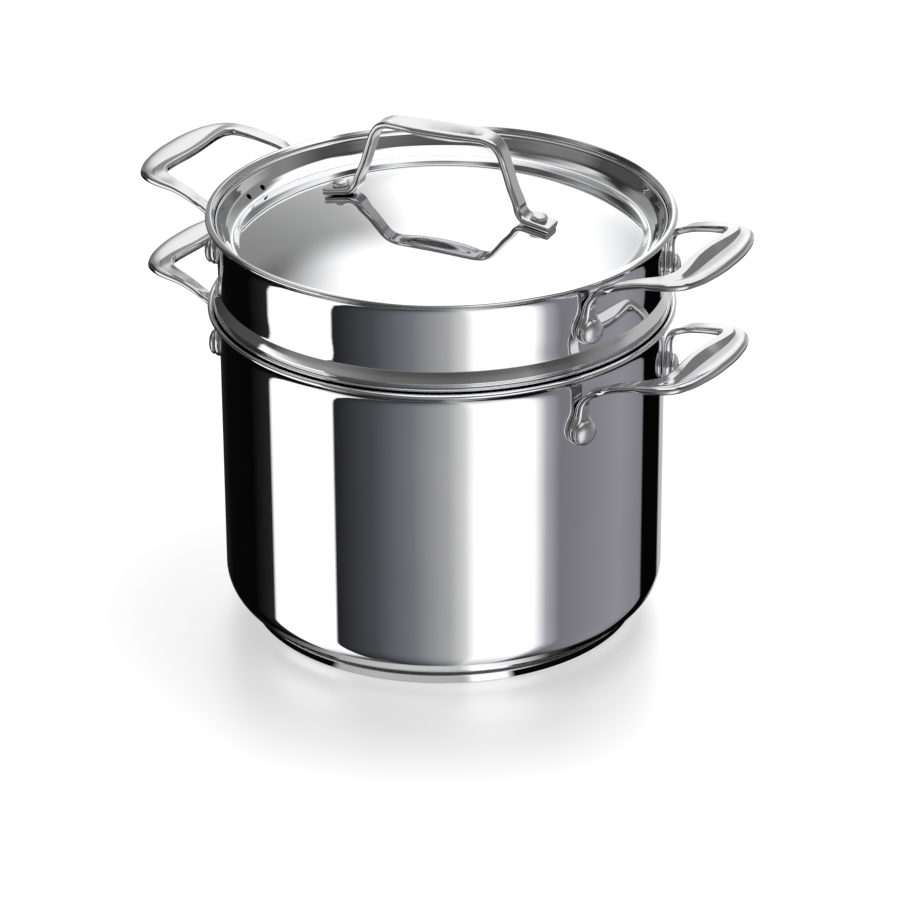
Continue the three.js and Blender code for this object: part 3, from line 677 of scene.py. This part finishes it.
def lid_handle():
    S = []
    half = LID_STRAP_T / 2

    def P(x, z, w, nx, nz, dish, t=LID_STRAP_T, crease=0.1, r=0.48):
        S.append((np.array([x, -w, z]), np.array([x, w, z]), np.array([nx, 0, nz]), t, dish, crease, (r, r)))

    for x, w, t in [(-60.7, 5.5, 3.4), (-60.35, 6.0, 3.6), (-59.6, 6.25, 3.6), (-58.7, 6.25, 3.6), (-57.2, 6.25, 3.6), (-54.5, 6.2, 3.6), (-51.2, 6.1, 3.6), (-48.4, 5.9, 3.6)]:
        P(x, dome(x) + GAP + half, w, x / LID_DOME_R, 1, 0, t, r=0.36)
    P(-45.9, dome(45.9) + GAP + half + 0.7, 5.6, -0.5, 1, 0)
    P(-43.9, dome(44) + GAP + half + 2.8, 5.3, -0.9, 0.5, 0)
    P(-42.6, dome(44) + GAP + half + 7.0, 5.0, -1, 0.28, 0)
    P(-39.6, 228.0, 4.7, -1, 0.31, 0)
    P(-36.2, 238.5, 4.7, -1, 0.31, 0)
    P(-33.6, 245.6, 5.0, -0.95, 0.42, 0)
    P(-30.6, 249.6, 5.5, -0.6, 0.8, 0)
    P(-26.4, 251.5, 6.2, -0.2, 1, 0.2, r=0.42)
    P(-20.5, 251.93, 7.0, -0.05, 1, 1.4, r=0.4)
    P(-14.0, 251.93, 7.7, 0, 1, 2.8, r=0.4)
    P(-7.0, 251.93, 8.1, 0, 1, 3.7, r=0.4)
    P(0.0, 251.93, 8.2, 0, 1, 3.9, r=0.4)
    return strap(S, 120, 0, 0.45)


v, f = lid_handle()
v = [(x + LID_HANDLE_X, y, z) for x, y, z in v]
finish_piece(to_object("lid_grip", moved(v, LID_TURN, 0.0), f, [MAT_CAST], sharp=rad(42)), "lid", "lid_handle")

ft = GAP + LID_STRAP_T + 0.04
head = thin([(0, ft), (2, ft), (3.95, ft)] + arc(3.95, ft + 0.3, 0.3, -90, 10, 5)
            + curve([(4.24, ft + 0.4), (4.26, ft + 1.0), (4.15, ft + 1.6), (3.7, ft + 2.15), (2.6, ft + 2.6), (1.2, ft + 2.8), (0, ft + 2.85)], 20))
lo = -LID_SHEET - 0.12
under = thin([(0, lo - 1.4), (2.6, lo - 1.4)] + arc(3.0, lo - 0.7, 0.7, -90, 0, 6) + [(3.7, lo - 0.1), (3.4, lo), (0, lo)])
RV, RF = two_heads(head, under, 48)
t = rad(LID_TURN)
for side, sign in (("right", 1), ("left", -1)):
    x = sign * LID_RIVET_X + LID_HANDLE_X
    p = Vector((x * math.cos(t), x * math.sin(t), dome(LID_RIVET_X)))
    d = Vector((p.x / LID_DOME_R, p.y / LID_DOME_R, 1)).normalized()
    finish_piece(to_object(f"lid_rivet_head_{side}", along(RV, p, d), RF, [MAT_SATIN]), "lid", f"lid_rivet_{side}")

# ------------------------------------------------------------------ floor
me = bpy.data.meshes.new("floor")
me.from_pydata([(-6, -6, 0), (6, -6, 0), (6, 6, 0), (-6, 6, 0)], [], [(0, 1, 2, 3)])
floor = bpy.data.objects.new("floor", me)
floor.location.z = -0.0002
bpy.context.scene.collection.objects.link(floor)
m = bpy.data.materials.new("floor_white")
m.use_nodes = True
k = Nodes(m.node_tree)
m.node_tree.nodes.remove(m.node_tree.nodes["Principled BSDF"])
sep = k.add("ShaderNodeSeparateXYZ")
k.link(k.add("ShaderNodeTexCoord").outputs["Object"], sep.inputs[0])
away = k.math("SQRT", k.math("ADD", k.math("MULTIPLY", sep.outputs[0], sep.outputs[0]), k.math("MULTIPLY", sep.outputs[1], sep.outputs[1])))
# near the pot the floor's own glow is painted down, a painted shade around the base, and a real glossy reflection is
# mixed in over it
near = k.span(away, 0.11, 0.25, 1.0, 0.0, True)
plain = k.add("ShaderNodeEmission")
plain.inputs["Color"].default_value = (1.0, 1.0, 1.0, 1)
plain.inputs["Strength"].default_value = 1.15
# dimmer glow near the pot: painted shade, lying under the real glossy reflection
dimmed_glow = k.add("ShaderNodeEmission")
dimmed_glow.inputs["Color"].default_value = (0.6, 0.6, 0.6, 1)
glo = k.add("ShaderNodeBsdfGlossy")
glo.inputs["Color"].default_value = (0.42, 0.42, 0.42, 1)
glo.inputs["Roughness"].default_value = 0.38
both = k.add("ShaderNodeAddShader")
k.link(dimmed_glow.outputs[0], both.inputs[0])
k.link(glo.outputs[0], both.inputs[1])
mixs = k.add("ShaderNodeMixShader")
k.link(near, mixs.inputs[0])
k.link(plain.outputs[0], mixs.inputs[1])
k.link(both.outputs[0], mixs.inputs[2])
k.link(mixs.outputs[0], m.node_tree.nodes["Material Output"].inputs["Surface"])
me.materials.append(m)
floor.visible_glossy = False

# ------------------------------------------------------------------ grey card behind the pot's left side
def lin(v):
    v = v / 255.0
    return v / 12.92 if v <= 0.04045 else ((v + 0.055) / 1.055) ** 2.4


def grey(v, tint=(1.0, 1.0, 1.0)):
    return tuple(lin(v) / 0.78 * t for t in tint)


CARD_BACK, CARD_L, CARD_R, CARD_LOW, CARD_TOP = 0.5, -0.62, 0.02, 0.2, 0.73
corners = [(CARD_L, CARD_LOW), (CARD_R, CARD_LOW), (CARD_R, CARD_TOP), (CARD_L, CARD_TOP)]
me = bpy.data.meshes.new("grey_card")
me.from_pydata([(u, w, 0) for u, w in corners], [], [(0, 1, 2, 3)])
card = bpy.data.objects.new("grey_card", me)
card.matrix_world = Matrix.Translation(-toward * CARD_BACK) @ Matrix((right, Vector((0, 0, 1)), toward)).transposed().to_4x4()
bpy.context.scene.collection.objects.link(card)
m = bpy.data.materials.new("grey_card")
m.use_nodes = True
k = Nodes(m.node_tree)
m.node_tree.nodes.remove(m.node_tree.nodes["Principled BSDF"])
sep = k.add("ShaderNodeSeparateXYZ")
k.link(k.add("ShaderNodeTexCoord").outputs["Object"], sep.inputs[0])
tone = k.ramp(k.span(sep.outputs[0], CARD_L, CARD_R, 0.0, 1.0), [((u - CARD_L) / (CARD_R - CARD_L), grey(v)) for u, v in
              [(-0.60, 90), (-0.45, 125), (-0.375, 138), (-0.33, 133), (-0.275, 136), (-0.225, 143), (-0.175, 156), (-0.125, 172), (-0.07, 205), (-0.02, 235)]])
shown = k.math("MULTIPLY", k.span(sep.outputs[0], -0.12, -0.01, 1.0, 0.0, True), k.span(sep.outputs[0], CARD_L, -0.5, 0.0, 1.0, True))
shown = k.math("MULTIPLY", shown, k.span(sep.outputs[1], 0.5, CARD_TOP - 0.01, 1.0, 0.0, True))
shown = k.math("MULTIPLY", shown, k.span(sep.outputs[1], CARD_LOW, 0.27, 0.0, 1.0, True))
paper = k.add("ShaderNodeEmission")
k.link(tone, paper.inputs["Color"])
clear = k.add("ShaderNodeBsdfTransparent")
mixs = k.add("ShaderNodeMixShader")
k.link(shown, mixs.inputs[0])
k.link(clear.outputs[0], mixs.inputs[1])
k.link(paper.outputs[0], mixs.inputs[2])
k.link(mixs.outputs[0], m.node_tree.nodes["Material Output"].inputs["Surface"])
me.materials.append(m)
card.visible_camera = False
card.visible_diffuse = False
card.visible_shadow = False

# ------------------------------------------------------------------ lit ring of floor around the base, seen only in the steel
RING = [0.0975, 0.1017, 0.1018, 0.1135]
me = bpy.data.meshes.new("floor_ring")
ring_v = [(r * math.sin(2 * math.pi * i / 180), r * math.cos(2 * math.pi * i / 180), 0) for r in RING for i in range(180)]
me.from_pydata(ring_v, [], [(b * 180 + i, b * 180 + (i + 1) % 180, (b + 1) * 180 + (i + 1) % 180, (b + 1) * 180 + i) for b in range(3) for i in range(180)])
ring = bpy.data.objects.new("floor_ring", me)
ring.matrix_world = Matrix.Translation(Vector((0, 0, -0.0005))) @ Matrix((right, toward, Vector((0, 0, -1)))).transposed().to_4x4()
bpy.context.scene.collection.objects.link(ring)
m = bpy.data.materials.new("floor_ring")
m.use_nodes = True
k = Nodes(m.node_tree)
m.node_tree.nodes.remove(m.node_tree.nodes["Principled BSDF"])
sep = k.add("ShaderNodeSeparateXYZ")
k.link(k.add("ShaderNodeTexCoord").outputs["Object"], sep.inputs[0])
round_it = k.math("MULTIPLY_ADD", k.math("ARCTAN2", sep.outputs[0], sep.outputs[1]), 1 / (2 * math.pi), 0.5)
far = k.math("SQRT", k.math("ADD", k.math("MULTIPLY", sep.outputs[0], sep.outputs[0]), k.math("MULTIPLY", sep.outputs[1], sep.outputs[1])))
PALE = (1.4, 1.4, 1.4)


def by_side(stops):
    return k.ramp(round_it, [((t + 180) / 360.0, c) for t, c in stops])


close = by_side([(-180, grey(6)), (-35, grey(8)), (-32.5, grey(168)), (-20, grey(178)), (6.5, grey(172)), (8.5, PALE), (18.5, PALE), (20.5, grey(8)), (180, grey(6))])
outer_ring = by_side([(-180, grey(6)), (-60, grey(20)), (-42, grey(120)), (-30, grey(170)), (-12, grey(194)), (4, grey(190)), (9, PALE), (20, grey(225)), (27, grey(170)), (32, grey(60)), (40, grey(8)), (180, grey(6))])
paper = k.add("ShaderNodeEmission")
k.link(k.mix(k.span(far, 0.1012, 0.1022, 0.0, 1.0, True), close, outer_ring), paper.inputs["Color"])
clear = k.add("ShaderNodeBsdfTransparent")
mixs = k.add("ShaderNodeMixShader")
k.link(k.span(far, 0.1105, 0.1135, 1.0, 0.0, True), mixs.inputs[0])
k.link(clear.outputs[0], mixs.inputs[1])
k.link(paper.outputs[0], mixs.inputs[2])
k.link(mixs.outputs[0], m.node_tree.nodes["Material Output"].inputs["Surface"])
me.materials.append(m)
ring.visible_camera = False
ring.visible_diffuse = False
ring.visible_shadow = False

# ------------------------------------------------------------------ studio
world = bpy.data.worlds.new("studio")
bpy.context.scene.world = world
world.use_nodes = True
nt = world.node_tree
for n in list(nt.nodes):
    nt.nodes.remove(n)
k = Nodes(nt)
d = k.add("ShaderNodeTexCoord").outputs["Generated"]
side = k.dot(d, (right.x, right.y, 0.0))
front = k.dot(d, (toward.x, toward.y, 0.0))
height = k.dot(d, (0.0, 0.0, 1.0))
theta = k.math("MULTIPLY_ADD", k.math("ARCTAN2", side, front), 1 / (2 * math.pi), 0.5)   # 0.5 is the camera's side, more is to its right
elev = k.math("MULTIPLY", k.math("ARCSINE", height), 180 / math.pi)


WHITE = (1.4, 1.4, 1.4)
COOL = (0.97, 0.985, 1.12)
VIOLET = (0.985, 0.955, 1.06)


def around(stops):
    """A colour for each direction around the pot: degrees from the camera's side, more is to its right."""
    return k.ramp(theta, [((t + 180) / 360.0, c) for t, c in stops])


def times(colour, amount):
    n = k.add("ShaderNodeMix", data_type="RGBA", blend_type="MULTIPLY")
    n.inputs[0].default_value = 1.0
    k.put(n.inputs[6], colour)
    k.put(n.inputs[7], amount)
    return n.outputs[2]


# cards that stand around the pot: black flag, white card, graded grey card, white card, grey card, black flag
cards = around([(-180, grey(40)), (-150, grey(8)), (-118, grey(5)), (-100.5, grey(36)), (-99.5, WHITE), (-58.6, WHITE),
                (-57.8, grey(33, COOL)), (-36, grey(71, COOL)), (-16, grey(113, COOL)), (3, grey(163)), (11, grey(205)), (17, WHITE), (47, WHITE), (55, grey(165, VIOLET)),
                (63, grey(118, VIOLET)), (105, grey(142, VIOLET)), (126.3, grey(126, VIOLET)), (127.5, grey(4)), (154, grey(4)), (157, grey(172)), (180, grey(185))])
floor_shade = k.ramp(k.span(elev, -90.0, -30.0, 0.0, 1.0), [(0.0, (0.28, 0.28, 0.28)), (0.25, (0.42, 0.42, 0.42)), (0.42, (0.6, 0.6, 0.6)), (0.58, (0.78, 0.78, 0.78)), (0.75, (0.93, 0.93, 0.93)), (0.95, (1, 1, 1))])
cards = times(cards, floor_shade)
near_floor = around([(-180, grey(8)), (-118, grey(12)), (-104, grey(30)), (-92, grey(40)), (-72, grey(60)), (-50, grey(90)), (58, grey(60)), (66, grey(16)), (120, grey(6)), (180, grey(6))])
dark_floor = around([(-180, (1, 1, 1)), (-54, (1, 1, 1)), (-40, (0, 0, 0)), (54, (0, 0, 0)), (64, (1, 1, 1)), (180, (1, 1, 1))])
cards = k.mix(times(dark_floor, k.span(elev, -66.0, -54.0, 1.0, 0.0, True)), cards, near_floor)
behind_pot = around([(-180, (1, 1, 1)), (-164, (1, 1, 1)), (-152, (0, 0, 0)), (152, (0, 0, 0)), (164, (1, 1, 1)), (180, (1, 1, 1))])
cards = k.mix(times(behind_pot, k.span(elev, -22.0, -16.0, 0.0, 1.0, True)), cards, (*grey(186), 1.0))
over_flag = around([(-180, (0, 0, 0)), (86, (0, 0, 0)), (104, (1, 1, 1)), (158, (1, 1, 1)), (166, (0, 0, 0)), (180, (0, 0, 0))])
pale_wall = around([(-180, grey(186)), (86, grey(135)), (102, grey(172)), (138, grey(183)), (150, grey(200)), (160, grey(190)), (180, grey(186))])
cards = k.mix(times(over_flag, k.span(elev, -20.0, -14.0, 0.0, 1.0, True)), cards, pale_wall)

# dim room above the cards and the pale backdrop behind the pot
room = around([(-180, WHITE), (-172, grey(200)), (-162, grey(95)), (-150, grey(55)), (-92, grey(62)), (-80, grey(112)), (-58, grey(124)), (-30, grey(94)), (5, grey(92)), (42, grey(122)),
               (52, grey(82)), (66, grey(76)), (90, grey(126)), (140, grey(128)), (158, grey(182)), (170, WHITE), (180, WHITE)])
dimming = k.ramp(k.span(elev, 0.0, 60.0, 0.0, 1.0), [(0.17, (1.5, 1.47, 1.45)), (0.33, (1.03, 1.0, 0.99)), (0.5, (0.69, 0.67, 0.67)), (0.75, (0.55, 0.54, 0.54))])
camera_half = around([(-180, (0, 0, 0)), (-142, (0, 0, 0)), (-120, (1, 1, 1)), (74, (1, 1, 1)), (94, (0, 0, 0)), (180, (0, 0, 0))])
room = k.mix(camera_half, room, times(room, dimming))
ceiling = around([(-180, grey(150)), (-150, grey(150)), (-130, grey(160)), (-118, grey(150)), (-108, grey(215)), (-98, grey(190)), (-85, grey(130)), (-65, grey(60)),
                  (55, grey(80)), (66, grey(150)), (73, WHITE), (180, WHITE)])
ceiling_part = around([(-180, (0, 0, 0)), (-160, (0, 0, 0)), (-145, (1, 1, 1)), (-75, (1, 1, 1)), (-60, (0, 0, 0)), (58, (0, 0, 0)), (70, (1, 1, 1)), (140, (1, 1, 1)), (156, (0, 0, 0)), (180, (0, 0, 0))])
room = k.mix(times(ceiling_part, k.span(elev, 35.0, 43.0, 0.0, 1.0, True)), room, ceiling)
card_top = around([(t, (c, c, c)) for t, c in ((-180, 0.93), (-150, 0.87), (-138, 0.8), (-114, 0.63), (-102, 0.5), (-97, 0.1), (-58, 0.1), (-48, 0.34), (60, 0.34), (88, 0.14), (100, 0.0), (150, 0.0), (166, 0.93), (180, 0.93))])
raised = k.math("ADD", elev, k.math("MULTIPLY_ADD", k.add("ShaderNodeRGBToBW").outputs[0], 30.0, -10.0))
k.link(card_top, [n for n in nt.nodes if n.bl_idname == "ShaderNodeRGBToBW"][0].inputs[0])
studio = k.mix(k.span(raised, -4.0, 4.0, 0.0, 1.0, True), cards, room)

# overhead softbox, seen as a flat panel above
over = k.math("MAXIMUM", height, 0.02)
across = k.math("DIVIDE", side, over)
behind = k.math("DIVIDE", k.math("MULTIPLY", front, -1.0), over)
panel = k.math("MULTIPLY", k.span(across, -0.54, -0.2, 0.0, 1.0, True), k.span(across, 0.36, 0.8, 1.0, 0.0, True))
panel = k.math("MULTIPLY", panel, k.span(behind, -1.05, -0.82, 0.0, 1.0, True))
panel = k.math("MULTIPLY", panel, k.span(elev, 2.0, 8.0, 0.0, 1.0, True))
studio = k.mix(panel, studio, (*WHITE, 1.0))
lp = k.add("ShaderNodeLightPath")
seen = k.mix(lp.outputs["Is Camera Ray"], (1.06, 1.06, 1.06, 1.0), (1.0, 1.0, 1.0, 1.0))
colour = k.mix(lp.outputs["Is Glossy Ray"], seen, studio)
bg = k.add("ShaderNodeBackground")
k.link(colour, bg.inputs["Color"])
out = k.add("ShaderNodeOutputWorld")
k.link(bg.outputs[0], out.inputs["Surface"])

bpy.context.scene.view_settings.view_transform = "Standard"
bpy.context.scene.view_settings.look = "None"

bpy.context.view_layer.update()
